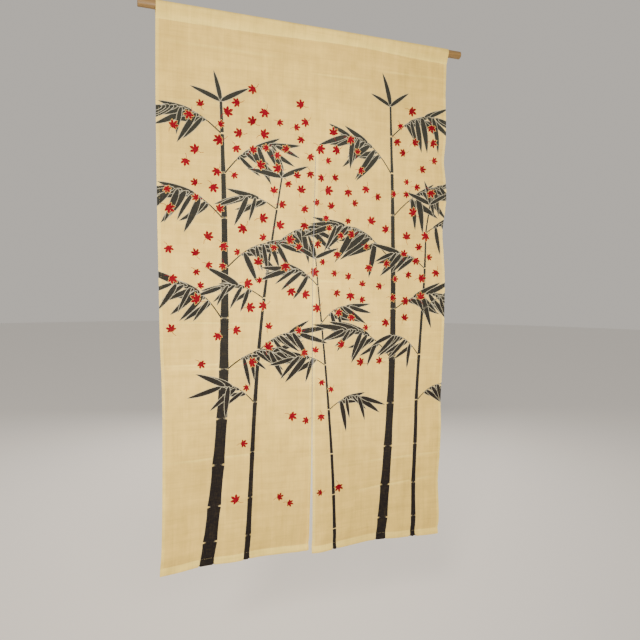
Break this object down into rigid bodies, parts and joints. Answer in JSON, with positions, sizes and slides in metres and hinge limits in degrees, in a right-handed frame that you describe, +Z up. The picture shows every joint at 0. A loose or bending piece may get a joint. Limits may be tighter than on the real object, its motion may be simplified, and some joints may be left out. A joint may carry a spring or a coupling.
{
  "type": "noren curtain on a pole",
  "caption": "Ecru door curtain of cloth panels with a slit between them, printed with bamboo and small red maple leaves, hung by its sleeve on a plain round pole.",
  "frame": {"origin": "middle of the pole's axis", "axes": "+X along the pole to the right as the curtain is faced, +Z up, the viewer at -Y"},
  "size_m": [0.94, 0.0362, 1.5],
  "materials": {
    "cloth": "matt open plain weave with slubs, printed in charcoal and red",
    "pole": "smooth, satin"
  },
  "bodies": {
    "root": {"panel_left": "cloth", "panel_right": "cloth", "pole": "pole"}
  },
  "joints": []
}
